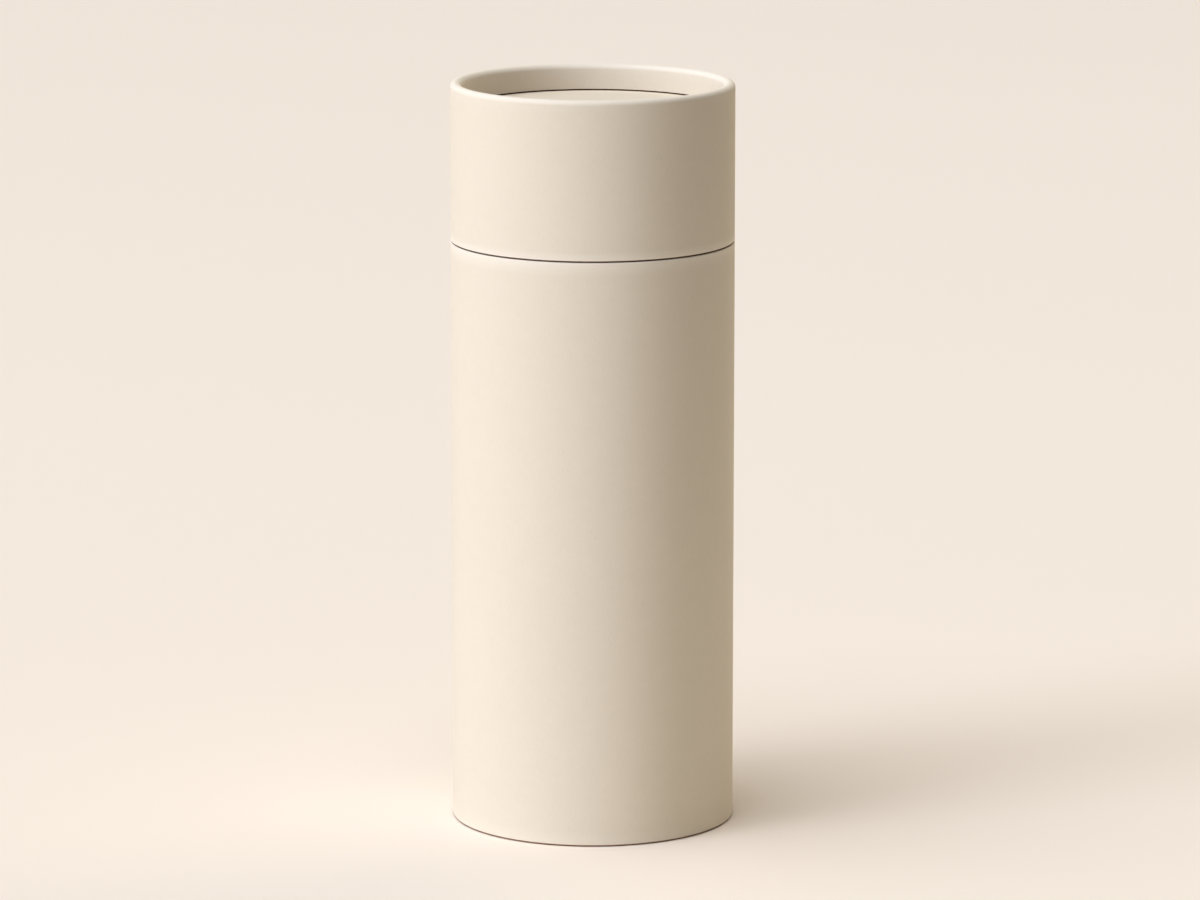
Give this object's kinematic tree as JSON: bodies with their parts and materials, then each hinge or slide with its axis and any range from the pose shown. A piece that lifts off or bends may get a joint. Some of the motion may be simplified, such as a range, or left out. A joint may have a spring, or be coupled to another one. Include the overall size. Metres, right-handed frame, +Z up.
{
  "type": "scroll box",
  "caption": "Round scroll box of wound board wrapped in cream paper, with an inner neck and a lift-off lid of the same diameter that slides over it.",
  "frame": {"origin": "middle of the foot, on the surface that the box stands on", "axes": "+Z up along the axis of the tubes, towards the lid; -Y is the side that the picture shows"},
  "size_m": [0.088, 0.088, 0.2318],
  "materials": {
    "wrap_paper": "matte",
    "lining_paper": "matte",
    "grey_board": "matte"
  },
  "bodies": {
    "body": {"body_tube": "grey_board", "body_wrap": "wrap_paper", "base_disc": "grey_board", "base_disc_facing": "wrap_paper", "floor_lining": "lining_paper", "neck_tube": "grey_board", "neck_wrap": "wrap_paper", "neck_lining": "lining_paper"},
    "lid": {"lid_tube": "grey_board", "lid_wrap": "wrap_paper", "lid_disc": "grey_board", "lid_disc_facing": "wrap_paper", "ceiling_lining": "lining_paper", "lid_wall_lining": "lining_paper"}
  },
  "joints": [
    {"name": "lid_lift", "type": "slide", "parent": "body", "child": "lid", "axis": [0, 0, 1], "range_m": [0, 0.06]}
  ]
}
